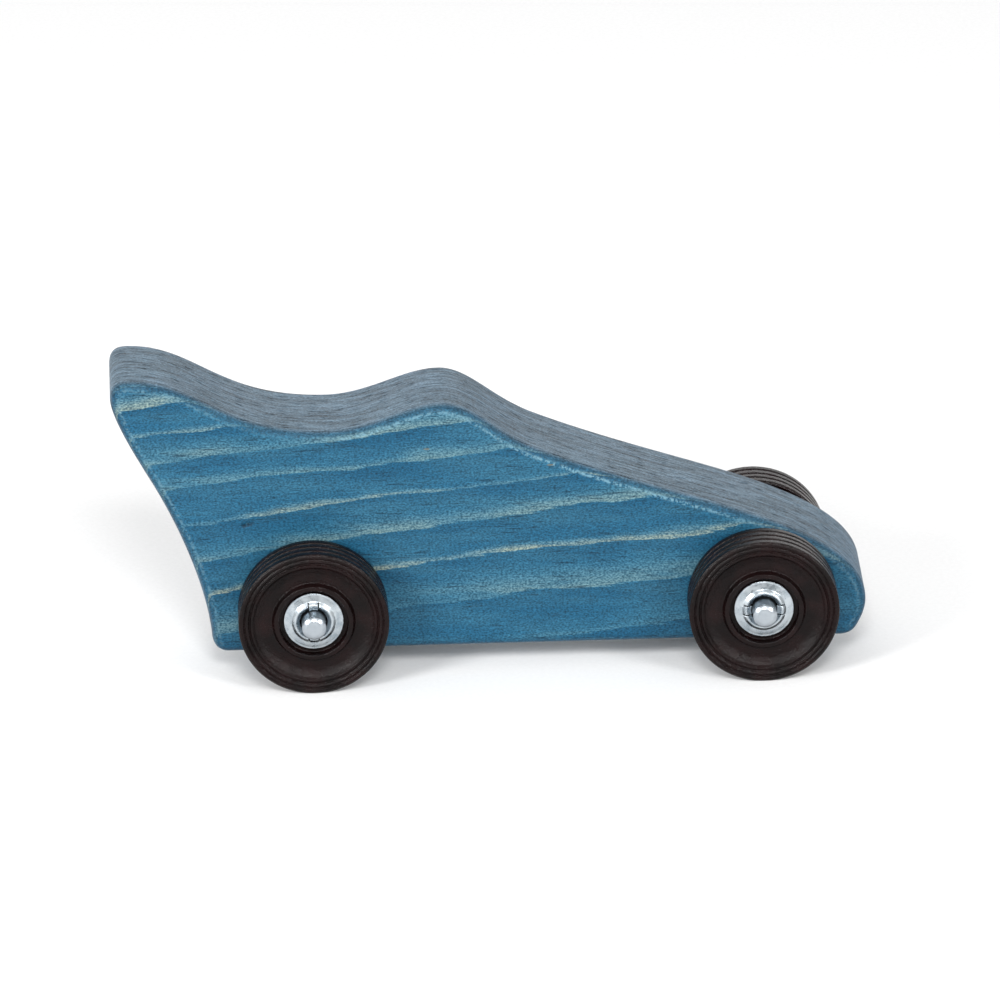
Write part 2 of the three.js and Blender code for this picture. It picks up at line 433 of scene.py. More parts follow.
        smooth = self.roughness - self.uneven_roughness
        rough = self.roughness + self.uneven_roughness
        uneven = node("MapRange", (grain["fibre"], *FULL_NOISE, smooth, rough))
        raised = node("Math", (grain["fibre"], self.fibre_relief), **TIMES)
        relief = node("Math", (pores, self.pore_relief, raised), **TIMES_PLUS)
        ridges = node("Math", (grain["edge_fibre"], edge), **TIMES)
        for height, amount in (
            (ridges, self.ridge_relief),
            (grain["grit"], self.grit_relief),
            (scuff_and_highlight_mask, self.scuff_relief),
        ):
            relief = node("Math", (height, amount, relief), **TIMES_PLUS)
        link = material.node_tree.links.new
        link(wood, shader.inputs["Base Color"])
        open_pores = node("Math", (pores, self.pore_roughness, uneven), **TIMES_PLUS)
        link(open_pores, shader.inputs["Roughness"])
        bump = node("Bump", {
            "Strength": self.relief_strength,
            "Distance": self.relief_mm * MM,
            "Height": relief,
        })
        link(bump, shader.inputs["Normal"])
        shader.inputs["IOR"].default_value = self.ior
        shader.inputs["Specular IOR Level"].default_value = self.gloss
        return material


@dataclass(frozen=True)
class MouldedPlastic:
    """Brown-black moulded plastic; its fine pebbled skin breaks every highlight into glints."""

    name: str = "dark_moulded_plastic"
    dark: str = "#090404"
    brown: str = "#180b0b"
    ior: float = 1.46
    gloss: float = 0.17
    roughness: float = 0.2
    pebble_mm: float = 0.5
    pebble_depth_mm: float = 0.2
    cloud_mm: float = 8.0
    cloud_limits: Point = (0.35, 0.7)
    smoother: float = 0.08  # how much smoother than the rest the smoothest spots are
    rougher: float = 0.1

    def build(self) -> bpy.types.Material:
        """Makes the material.

        Returns:
            The material.
        """
        material, shader = new_material(self.name)
        node = partial(add_node, material.node_tree)
        place = node("TexCoord", output="Object")
        cloud, pebble = (
            node("TexNoise", {"Vector": place, "Scale": 1 / (size * MM), "Detail": detail})
            for size, detail in ((self.cloud_mm, 4.0), (self.pebble_mm, 3.0))
        )
        stops = tuple(zip(self.cloud_limits, (self.dark, self.brown)))
        colour = node("ValToRGB", (cloud,), stops=stops)
        limits = (self.roughness - self.smoother, self.roughness + self.rougher)
        spread = (pebble, *FULL_NOISE, *limits)
        depth = self.pebble_depth_mm * MM
        bump = node("Bump", {"Strength": 1.0, "Distance": depth, "Height": pebble})
        link = material.node_tree.links.new
        link(colour, shader.inputs["Base Color"])
        link(node("MapRange", spread), shader.inputs["Roughness"])
        link(bump, shader.inputs["Normal"])
        shader.inputs["IOR"].default_value = self.ior
        shader.inputs["Specular IOR Level"].default_value = self.gloss
        return material


@dataclass(frozen=True)
class PlatedSteel:
    """Steel under zinc: a cool sheen, clouded, with faint handling marks."""

    name: str
    bright: str = "#bdc5ca"
    dull: str = "#97a2aa"
    roughness: float = 0.27
    cloud_mm: float = 3.0
    cloud_limits: Point = (0.32, 0.58)
    smoother: float = 0.05  # how much smoother than the rest the smoothest spots are
    rougher: float = 0.08
    mark_mm: float = 0.35
    mark_depth_mm: float = 0.02
    mark_strength: float = 0.3

    def build(self) -> bpy.types.Material:
        """Makes the material.

        Returns:
            The material.
        """
        material, shader = new_material(self.name)
        node = partial(add_node, material.node_tree)
        place = node("TexCoord", output="Object")
        cloud, marks = (
            node("TexNoise", {"Vector": place, "Scale": 1 / (size * MM), "Detail": detail})
            for size, detail in ((self.cloud_mm, 5.0), (self.mark_mm, 2.0))
        )
        stops = tuple(zip(self.cloud_limits, (self.dull, self.bright)))
        colour = node("ValToRGB", (cloud,), stops=stops)
        limits = (self.roughness - self.smoother, self.roughness + self.rougher)
        spread = (cloud, *FULL_NOISE, *limits)
        depth = self.mark_depth_mm * MM
        bump = node("Bump", {"Strength": self.mark_strength, "Distance": depth, "Height": marks})
        link = material.node_tree.links.new
        link(colour, shader.inputs["Base Color"])
        link(node("MapRange", spread), shader.inputs["Roughness"])
        link(bump, shader.inputs["Normal"])
        shader.inputs["Metallic"].default_value = 1.0
        return material


@dataclass(frozen=True)
class FloorPaper:
    """Seamless pale background paper, matt with a faint tooth."""

    name: str = "pale_background_paper"
    light: str = "#f4f4f4"
    shade: str = "#f0f0f0"
    tooth_mm: float = 1.5
    roughness: float = 0.9

    def build(self) -> bpy.types.Material:
        """Makes the material.

        Returns:
            The material.
        """
        material, shader = new_material(self.name)
        node = partial(add_node, material.node_tree)
        place = node("TexCoord", output="Object")
        tooth = node("TexNoise", {"Vector": place, "Scale": 1 / (self.tooth_mm * MM)})
        colour = node("ValToRGB", (tooth,), stops=tuple(zip(FULL_NOISE, (self.shade, self.light))))
        material.node_tree.links.new(colour, shader.inputs["Base Color"])
        shader.inputs["Roughness"].default_value = self.roughness
        return material


# ---- Small tools for meshes -----------------------------------------------------------------


@dataclass(frozen=True)
class Corner:
    """A corner of a turned profile: its radius and place along the axis, and its rounding."""

    radius: float
    along: float
    round: float = 0.0


def bezier(handles: Sequence[Point], t: float) -> Point:
    """A point on a Bezier curve of any degree.

    Args:
        handles: The start, the handles between and the end.
        t: How far along, from 0 to 1.

    Returns:
        The point.
    """
    points = [np.array(p, float) for p in handles]
    while len(points) > 1:
        points = [a + (b - a) * t for a, b in zip(points, points[1:])]
    return (float(points[0][0]), float(points[0][1]))


def fillet(corners: Sequence[Corner], step: float = math.radians(15)) -> list[Point]:
    """Rounds the corners of a closed profile.

    Args:
        corners: The corners in order; the last joins the first.
        step: The most that the outline turns between two points of a rounding, in radians.

    Returns:
        The rounded profile's points.
    """
    outline: list[Point] = []
    for i, corner in enumerate(corners):
        here = np.array((corner.radius, corner.along))
        before, after = corners[i - 1], corners[(i + 1) % len(corners)]
        back = np.array((before.radius, before.along)) - here
        ahead = np.array((after.radius, after.along)) - here
        room = min(np.linalg.norm(back), np.linalg.norm(ahead)) / 2
        back, ahead = back / np.linalg.norm(back), ahead / np.linalg.norm(ahead)
        angle = math.acos(float(np.clip(back @ ahead, -1, 1)))
        if corner.round <= 0 or angle > math.pi - NEARLY_STRAIGHT:
            outline.append((corner.radius, corner.along))
            continue
        setback = min(corner.round / math.tan(angle / 2), room)
        count = max(2, math.ceil((math.pi - angle) / step))
        start, end = here + back * setback, here + ahead * setback
        outline += [bezier((start, here, end), k / count) for k in range(count + 1)]
    return outline


def new_piece(
    name: str,
    vertices: Iterable[Sequence[float]],
    faces: Iterable[Sequence[int]],
    material: bpy.types.Material,
    sharp: float = 32.0,
) -> bpy.types.Object:
    """Makes a smooth-shaded object from vertices and faces.

    Args:
        name: The piece's name.
        vertices: The mesh's points.
        faces: The mesh's faces, as indices of points.
        material: The finish.
        sharp: Edges that turn by more than this many degrees stay crisp.

    Returns:
        The object, linked to the scene.
    """
    mesh = bpy.data.meshes.new(name)
    mesh.from_pydata([tuple(v) for v in vertices], [], [tuple(f) for f in faces])
    mesh.validate()
    mesh.shade_smooth()
    mesh.set_sharp_from_angle(angle=math.radians(sharp))
    mesh.materials.append(material)
    piece = bpy.data.objects.new(name, mesh)
    bpy.context.scene.collection.objects.link(piece)
    return piece


def turned_piece(
    name: str, profile: Sequence[Point], sides: int, material: bpy.types.Material
) -> bpy.types.Object:
    """Turns a closed profile about the Y axis.

    Args:
        name: The piece's name.
        profile: Radius and place along the axis of each point, in metres.
        sides: How many times the profile is repeated round the axis.
        material: The finish.

    Returns:
        The turned piece. Points on the axis are shared between the sides.
    """
    vertices: list[tuple] = []
    index: list[list[int]] = []
    for radius, along in profile:
        ring = 1 if radius < ON_AXIS else sides
        start = len(vertices)
        for k in range(ring):
            angle = 2 * math.pi * k / sides
            vertices.append((radius * math.cos(angle), along, radius * math.sin(angle)))
        index.append([start + k % ring for k in range(sides)])
    faces = []
    for low, high in zip(index, index[1:] + index[:1]):
        for k in range(sides):
            n = (k + 1) % sides
            loop = list(dict.fromkeys((low[k], high[k], high[n], low[n])))
            if len(loop) > 2:
                faces.append(loop)
    return new_piece(name, vertices, faces, material)


def middle(node: str) -> Vector:
    """The middle of a CAD node's box."""
    low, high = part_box(node)
    return (Vector(low) + Vector(high)) / 2


# ---- The board ------------------------------------------------------------------------------


@dataclass
class Skin:
    """The board's mesh while it grows."""

    vertices: list = field(default_factory=list)
    strengths: list = field(default_factory=list)
    faces: list = field(default_factory=list)

    def add(self, place: Sequence[float], strength: Sequence[float] = (0.0, 0.0, 0.0)) -> int:
        """Adds a vertex.

        Args:
            place: Where it lies, in metres.
            strength: Its scuff and painted highlight, its soaking and how far round the outline it
                lies.

        Returns:
            Its index.
        """
        self.vertices.append(place)
        self.strengths.append(strength)
        return len(self.vertices) - 1


@dataclass
class BodyBoard:
    """The sawn board: outline, rounded edges, axle bores, tool marks and finish."""

    finish: StainedPine = field(default_factory=StainedPine)
    node: str = "body_board"
    body: str = "car_body"
    edge_round: float = 3.2 * MM
    edge_rings: int = 12
    crisp_turn: float = 38.0  # edges that turn by more degrees stay crisp
    border_rings: tuple = (0.4 * MM, 0.9 * MM)  # rings just inside the flat sides
    outline_step: float = 0.75 * MM
    grid_step: float = 2.6 * MM
    bore_radius: float = 4.45 * MM
    bore_sides: int = 48
    bore_chamfer: float = 0.35 * MM
    chip_size: float = 1.1 * MM
    chip_depth: float = 0.16 * MM
    chip_cluster: float = 22 * MM
    chip_share: float = 0.15
    chip_everywhere: float = 0.25
    sanding_depth: float = 0.05 * MM
    sanding_reach: float = 9 * MM
    dent_place: Point = (-21.6 * MM, 31.2 * MM)  # from the rear axle
    dent_size: Point = (2.9 * MM, 1.0 * MM)
    dent_depth: float = 0.6 * MM
    dent_tilt: float = math.radians(17)
    dent_lean: Point = (0.65, 0.35)  # its depth at the middle, and how much that falls forwards
    dent_grid_step: float = 0.3 * MM
    dent_margin: float = 1.3  # how far the fine grid reaches, as a share of the dent's length
    row_share: float = 0.87  # the grid's rows lie this share of a step apart
    border_gap: float = 0.45  # steps kept free of the grid inside the border
    bore_gap: float = 0.4  # and round a bore
    arris_turn: float = 79.0  # how far round the rounding its scuffed and highlighted line lies, in degrees
    arris_half_width: float = 15.0
    rub_and_highlight_above: float = 0.9  # the underside gets no scuff or painted highlight: its normals point down by more than this
    rub_and_highlight_blend: float = 0.4
    soak_turn: float = 50.0
    soak_half_width: float = 40.0
    soak: float = 0.5
    # Strength of the arris's scuff and painted highlight, by millimetres forward of the rear axle.
    rub_and_highlight_mm: tuple = (
        (-68, 0.4), (-55, 0.5), (-40, 0.4), (-15, 0.15), (2, 0.2), (14, 0.85), (35, 0.8),
        (55, 0.6), (75, 0.95), (130, 0.95), (150, 0.5), (172, 0.3), (190, 0.35),
    )
    # The outline in millimetres, in x and z from the rear axle. Each stretch starts where the
    # last one ends, and lists its handles and its end.
    start_mm: Point = (-28.9, -16.6)
    stretches_mm: tuple = (
        ((181.5, -16.6),),  # underside
        ((185.6, -16.6), (187.4, -13.4)),  # lower corner of the nose
        ((189.0, -10.6), (190.5, -7.2), (190.5, -3.8)),  # underside of the nose
        ((190.5, 14.0), (165.4, 24.8), (136.7, 34.5)),  # nose and front of the bonnet
        ((117.0, 41.1), (97.5, 47.2), (78.0, 55.5)),  # bonnet
        ((63.1, 61.8), (55.9, 73.0), (45.2, 73.0)),  # up to the crest of the cowl
        ((33.0, 73.0), (21.5, 64.1), (6.3, 64.1)),  # down into the seat
        ((-31.3, 64.1), (-37.5, 84.0), (-61.6, 84.0)),  # up the tail
        ((-66.2, 84.0), (-67.6, 81.6), (-67.6, 77.6)),  # tip of the tail
        ((-67.6, 70.4), (-58.0, 53.7), (-54.2, 46.7)),  # back of the tail
        ((-45.6, 31.1), (-36.0, 7.2), (-34.7, -10.9)),  # back of the board
        ((-34.0, -16.6), (-28.9, -16.6)),  # lower rear corner
    )

    def outline(self) -> np.ndarray:
        """Samples the outline evenly.

        Returns:
            Points in x and z, counter-clockwise as seen from -Y, in metres.
        """
        dense = [self.start_mm]
        for stretch in self.stretches_mm:
            handles = (dense[-1], *stretch)
            steps = 1 if len(stretch) == 1 else 200
            dense += [bezier(handles, k / steps) for k in range(1, steps + 1)]
        axle = middle("rear_axle")
        points = np.array(dense) * MM + (axle.x, axle.z)
        spans = np.linalg.norm(np.diff(points, axis=0), axis=1)
        lengths = np.concatenate(([0.0], np.cumsum(spans)))
        count = int(lengths[-1] / self.outline_step)
        even = np.linspace(0, lengths[-1], count, endpoint=False)
        return np.column_stack([np.interp(even, lengths, points[:, k]) for k in (0, 1)])

    @staticmethod
    def outwards(points: np.ndarray) -> np.ndarray:
        """Finds the normals of a closed outline.

        Args:
            points: The outline's points, counter-clockwise as seen from -Y.

        Returns:
            The unit normal at each point, pointing out of the outline.
        """
        along = np.roll(points, -1, axis=0) - np.roll(points, 1, axis=0)
        along /= np.linalg.norm(along, axis=1)[:, None]
        return np.column_stack([along[:, 1], -along[:, 0]])

    @staticmethod
    def inside(points: np.ndarray, outline: np.ndarray) -> np.ndarray:
        """Says which points lie inside a closed outline.

        Args:
            points: The points to test.
            outline: The outline's points in order.

        Returns:
            True for each point that lies inside.
        """
        x, z = points[:, :1], points[:, 1:]
        ax, az = outline[:, 0], outline[:, 1]
        bx, bz = np.roll(ax, -1), np.roll(az, -1)
        spans = (az > z) != (bz > z)
        rise = np.where(bz == az, 1e-12, bz - az)
        crossed = spans & (x < ax + (z - az) / rise * (bx - ax))
        return crossed.sum(axis=1) % 2 == 1

    def rub_and_highlight(self, outline: np.ndarray, normals: np.ndarray) -> np.ndarray:
        """Says how strong the arris's scuff and painted highlight are along the outline; the
        underside gets none.

        Args:
            outline: The outline's points.
            normals: Their outward normals.

        Returns:
            The strength at each point, from 0 to 1.
        """
        places, strengths = zip(*self.rub_and_highlight_mm)
        forwards = (outline[:, 0] - middle("rear_axle").x) / MM
        above = np.clip((normals[:, 1] + self.rub_and_highlight_above) / self.rub_and_highlight_blend, 0, 1)
        return np.interp(forwards, places, strengths) * above

    def chips(self, x: float, y: float, z: float) -> float:
        """Says how deep the rounding is chipped at a place.

        Args:
            x: Where the place lies, in metres.
            y: The same, across the board.
            z: The same, upwards.

        Returns:
            The chip's depth, where 0 is whole and 1 is about the deepest.
        """
        place = Vector((x, y, z))
        where = noise.noise(place / self.chip_cluster) * 0.5 + 0.5
        torn = noise.noise(Vector((x, y * 2, z)) / self.chip_size)
        return max(0.0, torn + self.chip_share) * min(1.0, self.chip_everywhere + where)

    def dent(self, x: float, z: float) -> float:
        """Says how deep the dent in the right side is at a place.

        Args:
            x: Where the place lies, in metres.
            z: The same, upwards.

        Returns:
            The depth in metres, 0 outside the dent.
        """
        axle = middle("rear_axle")
        dx = x - self.dent_place[0] - axle.x
        dz = z - self.dent_place[1] - axle.z
        turn = self.dent_tilt
        along = (dx * math.cos(turn) + dz * math.sin(turn)) / self.dent_size[0]
        up = (dz * math.cos(turn) - dx * math.sin(turn)) / self.dent_size[1]
        far = along * along + up * up
        if far > 1:
            return 0.0
        level, lean = self.dent_lean
        return self.dent_depth * (1 - far) * (level - lean * along)

    def cap(self, border: np.ndarray, holes: list[np.ndarray]) -> tuple[np.ndarray, list]:
        """Fills one flat side with even triangles.

        Args:
            border: The side's outer points.
            holes: The points round each bore.

        Returns:
            The points, with the border first and then the holes', and the triangles.
        """
        low, high = border.min(axis=0), border.max(axis=0)
        rows = np.arange(low[1], high[1], self.grid_step * self.row_share)
        grid = []
        for i, z in enumerate(rows):
            shift = self.grid_step / 2 * (i % 2)
            grid += [(x + shift, z) for x in np.arange(low[0], high[0], self.grid_step)]
        reach = self.dent_size[0] * self.dent_margin
        axle = middle("rear_axle")
        centre = np.array(self.dent_place) + (axle.x, axle.z)
        fine = np.arange(-reach, reach, self.dent_grid_step)
        grid += [(centre[0] + a, centre[1] + b) for a in fine for b in fine if abs(b) < reach / 2]
        points = np.array(grid)
        margin = border - self.outwards(border) * self.grid_step * self.border_gap
        keep = self.inside(points, margin)
        for hole in holes:
            centre = hole.mean(axis=0)
            radius = np.linalg.norm(hole[0] - centre)
            clear = radius + self.grid_step * self.bore_gap
            keep &= np.linalg.norm(points - centre, axis=1) > clear
        loops = [border, *holes]
        edges, start = [], 0
        for loop in loops:
            n = len(loop)
            edges += [(start + k, start + (k + 1) % n) for k in range(n)]
            start += n
        everything = np.vstack([*loops, points[keep]])
        scaled = [Vector(p / MM) for p in everything]
        found = geometry.delaunay_2d_cdt(scaled, edges, [], 0, MERGE_MM)
        corners, triangles = np.array([tuple(v) for v in found[0]]) * MM, found[2]
        centres = corners[np.array([list(t) for t in triangles])].mean(axis=1)
        solid = self.inside(centres, border)
        for hole in holes:
            solid &= ~self.inside(centres, hole)
        return corners, [t for t, kept in zip(triangles, solid) if kept]

    def rounding_rows(self, half: float) -> list[tuple]:
        """Lists the rings from the widest outline in to the flat side.

        Args:
            half: Half the board's thickness.

        Returns:
            For each ring, its inset, its height out from the middle plane, and how much it is
            scuffed and highlighted, soaked and chipped.
        """
        radius = self.edge_round
        rows = []
        for k in range(self.edge_rings + 1):
            turn = math.pi / 2 * k / self.edge_rings
            degrees = math.degrees(turn)
            arris = max(0.0, 1 - abs(degrees - self.arris_turn) / self.arris_half_width)
            soak = self.soak * max(0.0, 1 - abs(degrees - self.soak_turn) / self.soak_half_width)
            out = half - radius + radius * math.sin(turn)
            rows.append((radius * (1 - math.cos(turn)), out, arris, soak, math.sin(turn) ** 2))
        rows += [(radius + inset, half, 0.0, 0.0, 0.0) for inset in self.border_rings]
        return rows

    def wrap_edges(self, skin: "Skin", half: float) -> dict[int, list[int]]:
        """Makes the sawn edges and the roundings on both sides of them.

        Args:
            skin: The mesh that gets them.
            half: Half the board's thickness.

        Returns:
            The last ring's vertices on the right side, under -1, and on the left, under 1.
        """
        outline = self.outline()
        normals = self.outwards(outline)
        count = len(outline)
        steps = np.linalg.norm(np.roll(outline, -1, axis=0) - outline, axis=1)
        runs = np.concatenate(([0.0], np.cumsum(steps)[:-1])) / MM
        rub_and_highlight = self.rub_and_highlight(outline, normals)
        rows = self.rounding_rows(half)
        rims = {}
        for sign in (-1, 1):
            for inset, out, arris, soak, chip in rows:
                ring = outline - normals * inset
                for (x, z), normal, run, rub_and_highlight_here in zip(ring, normals, runs, rub_and_highlight):
                    bite = chip * self.chip_depth * self.chips(x, sign * out, z)
                    place = (x - normal[0] * bite, sign * (out - bite), z - normal[1] * bite)
                    skin.add(place, (arris * rub_and_highlight_here, soak, run))
            rims[sign] = list(range(len(skin.vertices) - count, len(skin.vertices)))
        per_side = count * len(rows)
        for sign, offset in ((-1, 0), (1, per_side)):
            for r in range(len(rows) - 1):
                for k in range(count):
                    n = (k + 1) % count
                    a, b = offset + r * count + k, offset + r * count + n
                    loop = (a, b, b + count, a + count)
                    skin.faces.append(loop if sign > 0 else loop[::-1])
        for k in range(count):
            n = (k + 1) % count
            skin.faces.append((k, n, per_side + n, per_side + k))
        return rims

    def close_side(
        self, skin: "Skin", sign: int, half: float, rim: list[int], holes: list[np.ndarray]
    ) -> list[list[int]]:
        """Fills one flat side, with its sanding marks and the dent.

        Args:
            skin: The mesh that gets it.
            sign: -1 for the right side and 1 for the left.
            half: Half the board's thickness.
            rim: The vertices round the side.
            holes: The points round each bore's mouth.

        Returns:
            The vertices round each bore's mouth.
        """
        border = np.array([(skin.vertices[i][0], skin.vertices[i][2]) for i in rim])
        corners, triangles = self.cap(border, holes)
        places = list(rim)
        inner = len(rim) + len(holes) * self.bore_sides  # the first point that is on no rim
        for i in range(len(rim), len(corners)):
            x, z = corners[i]
            sunk = dented = 0.0
            if i >= inner:
                ripple = noise.noise(Vector((x, sign, z)) / self.sanding_reach) * 0.5 + 0.5
                sunk = ripple * self.sanding_depth
                dented = self.dent(x, z) if sign < 0 else 0.0
            soaked = min(1.0, 2 * dented / self.dent_depth)
            places.append(skin.add((x, sign * (half - sunk - dented), z), (0.0, soaked, 0.0)))
        for triangle in triangles:
            loop = [places[i] for i in triangle]
            skin.faces.append(loop if sign < 0 else loop[::-1])
        mouths = places[len(rim) : inner]
        return [mouths[i : i + self.bore_sides] for i in range(0, len(mouths), self.bore_sides)]

    def line_bore(
        self, skin: "Skin", half: float, centre: Point, circle: np.ndarray, mouths: list[list[int]]
    ) -> None:
        """Makes the wall of one bore and the chamfers at its mouths.

        Args:
            skin: The mesh that gets them.
            half: Half the board's thickness.
            centre: The bore's centre in x and z.
            circle: Points on a circle of radius 1.
            mouths: The vertices round its right mouth and round its left one.
        """
        rings = [mouths[0], [], [], mouths[1]]
        for sign, ring in ((-1, rings[1]), (1, rings[2])):
            for cos, sin in circle:
                x = centre[0] + cos * self.bore_radius
                z = centre[1] + sin * self.bore_radius
                ring.append(skin.add((x, sign * (half - self.bore_chamfer), z)))
        for k in range(self.bore_sides):
            n = (k + 1) % self.bore_sides
            for near, far in zip(rings, rings[1:]):
                skin.faces.append((near[k], near[n], far[n], far[k]))

    def build(self) -> bpy.types.Object:
        """Makes the board.

        Returns:
            The finished board, riding on the car's body.
        """
        low, high = (Vector(c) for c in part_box(self.node))
        half = (high.y - low.y) / 2
        skin = Skin()
        rims = self.wrap_edges(skin, half)
        centres = [(middle(f"{end.value}_axle").x, middle(f"{end.value}_axle").z) for end in End]
        angles = np.arange(self.bore_sides) * 2 * math.pi / self.bore_sides
        circle = np.column_stack([np.cos(angles), np.sin(angles)])
        mouth_radius = self.bore_radius + self.bore_chamfer
        holes = [np.array(c) + circle * mouth_radius for c in centres]
        right, left = (self.close_side(skin, sign, half, rims[sign], holes) for sign in (-1, 1))
        for centre, *mouths in zip(centres, right, left):
            self.line_bore(skin, half, centre, circle, mouths)

        piece = new_piece(
            "stained_board", skin.vertices, skin.faces, self.finish.build(), self.crisp_turn
        )
        for name, values in zip(("arris", "soaked", "run"), zip(*skin.strengths)):
            piece.data.attributes.new(name, "FLOAT", "POINT").data.foreach_set("value", values)
        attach(piece, self.body)
        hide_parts(self.node)
        return piece


# ---- Wheels ---------------------------------------------------------------------------------


@dataclass
class ToyWheel:
    """A moulded wheel with a ribbed tread, a dished face and a recessed hub, in millimetres."""

    finish: bpy.types.Material
    rib_count: int = 4
    groove_width: float = 1.1
    groove_depth: float = 0.9
    rib_round: float = 0.5
    shoulder: float = 0.55
    bore_radius: float = 4.45
    hub_radius: float = 13.5
    hub_setback: float = 0.9
    recess_radius: float = 11.9
    recess_floor: float = 9.85  # out from the wheel's inner face
    hub_round: float = 0.5
    bore_chamfer: float = 0.3
    shoulder_round: float = 0.35
    groove_taper: float = 0.45  # the groove's floor, as a share of its width
    groove_round: float = 0.15
    # Each face from the foot of the dish to the shoulder: radius, depth behind the face, rounding.
    face_rings: tuple = (
        (14.3, 2.9, 0.6),  # foot of the dish
        (17.6, 2.9 - 0.35, 4.5),
        (20.2, 1.35, 1.4),
        (21.0, 0.5, 0.3),  # lip
        (21.6, 0.55, 0.15),
        (22.1, 1.15, 0.25),  # groove outside the lip
        (22.6, 0.6, 0.2),
        (23.3, 0.32, 0.3),
        (23.8, 0.75, 0.15),  # fine groove
        (24.3, 0.2, 0.25),
        (25.0, 0.0, 0.35),  # shoulder
    )
    sides: int = 192

    def face(self, sign: float, level: float, hub_setback: float) -> list[Corner]:
        """The rings of one face, from the hub out to the shoulder.

        Args:
            sign: 1 where the face looks along the axis, -1 where it looks back.
            level: Where the face lies along the axis.
            hub_setback: How far the hub lies behind the face.

        Returns:
            The face's corners.
        """
        rings = ((self.hub_radius, hub_setback, self.hub_round), *self.face_rings)
        return [Corner(r, level - sign * depth, fall) for r, depth, fall in rings]

    def tread(self, width: float, radius: float) -> list[Corner]:
        """The ribs and grooves, from the inner shoulder to the outer one.

        Args:
            width: The tread's width.
            radius: The wheel's radius.

        Returns:
            The tread's corners.
        """
        corners = [Corner(radius, self.shoulder, self.shoulder_round)]
        for i in range(1, self.rib_count):
            centre = width * i / self.rib_count
            half = self.groove_width / 2
            bottom = radius - self.groove_depth
            corners += [
                Corner(radius, centre - half, self.rib_round),
                Corner(bottom, centre - half * self.groove_taper, self.groove_round),
                Corner(bottom, centre + half * self.groove_taper, self.groove_round),
                Corner(radius, centre + half, self.rib_round),
            ]
        corners.append(Corner(radius, width - self.shoulder, self.shoulder_round))
        return corners

    def profile(self, width: float, radius: float) -> list[Point]:
        """Draws the wheel's whole section.

        Args:
            width: The wheel's width.
            radius: The wheel's radius.

        Returns:
            The rounded section's points, in metres.
        """
        inner = self.face(-1, 0.0, 0.0)
        outer = self.face(1, width, self.hub_setback)[::-1]
        floor = self.recess_floor
        hub = [
            Corner(self.recess_radius, width - self.hub_setback, self.hub_round),
            Corner(self.recess_radius, floor, self.hub_round),
            Corner(self.bore_radius + self.bore_chamfer, floor),
            Corner(self.bore_radius, floor - self.bore_chamfer),
            Corner(self.bore_radius, self.bore_chamfer),
            Corner(self.bore_radius + self.bore_chamfer, 0.0),
        ]
        corners = hub + inner + self.tread(width, radius) + outer
        return [(r * MM, y * MM) for r, y in fillet(corners)]

    def build(self, end: End, side: Side) -> bpy.types.Object:
        """Makes one wheel.

        Args:
            end: The axle that it turns on.
            side: The side of the car that it is on.

        Returns:
            The wheel, riding on its own body.
        """
        node = f"{end.value}_{side.value}_wheel"
        low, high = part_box(node)
        width, radius = (high[1] - low[1]) / MM, (high[2] - low[2]) / 2 / MM
        piece = turned_piece(
            f"{end.value}_{side.value}_moulded_wheel",
            self.profile(width, radius),
            self.sides,
            self.finish,
        )
        centre = middle(node)
        inner = low[1] if side is Side.LEFT else high[1]
        place = Matrix.Translation((centre.x, inner, centre.z))
        piece.matrix_world = place @ Matrix.Rotation(side.turn, 4, "Z")
        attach(piece, node)
        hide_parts(node)
        return piece


# ---- Axles, washers and push nuts -----------------------------------------------------------


@dataclass
class SteelAxle:
    """A drawn steel rod with chamfered, faintly domed ends."""

    finish: bpy.types.Material
    chamfer: float = 1.3 * MM
    chamfer_depth: float = 0.8 * MM
    dome: float = 0.08 * MM
    dome_shares: Point = (0.4, 0.3)  # of the radius, and the share of the dome's drop there
    tip_blend: Point = (0.12 * MM, 0.05 * MM)  # inwards and down, where the chamfer starts
    chamfer_blend: Point = (0.1 * MM, 0.15 * MM)  # inwards and down, where it ends
    sides: int = 96

    def build(self, end: End) -> bpy.types.Object:
        """Makes one axle.

        Args:
            end: The end of the car that it is at.

        Returns:
            The axle, riding on its own body.
        """
        node = f"{end.value}_axle"
        low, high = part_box(node)
        radius, half = (high[2] - low[2]) / 2, (high[1] - low[1]) / 2
        tip = [
            (0.0, half),
            (radius * self.dome_shares[0], half - self.dome * self.dome_shares[1]),
            (radius - self.chamfer - self.tip_blend[0], half - self.dome),
            (radius - self.chamfer, half - self.dome - self.tip_blend[1]),
            (radius - self.chamfer_blend[0], half - self.chamfer_depth),
            (radius, half - self.chamfer_depth - self.chamfer_blend[1]),
        ]
        profile = [(r, -y) for r, y in tip] + tip[::-1]
        piece = turned_piece(f"{end.value}_steel_axle", profile, self.sides, self.finish)
        piece.location = middle(node)
        bpy.context.view_layer.update()
        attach(piece, f"{end.value}_axle_set")
        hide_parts(node)
        return piece


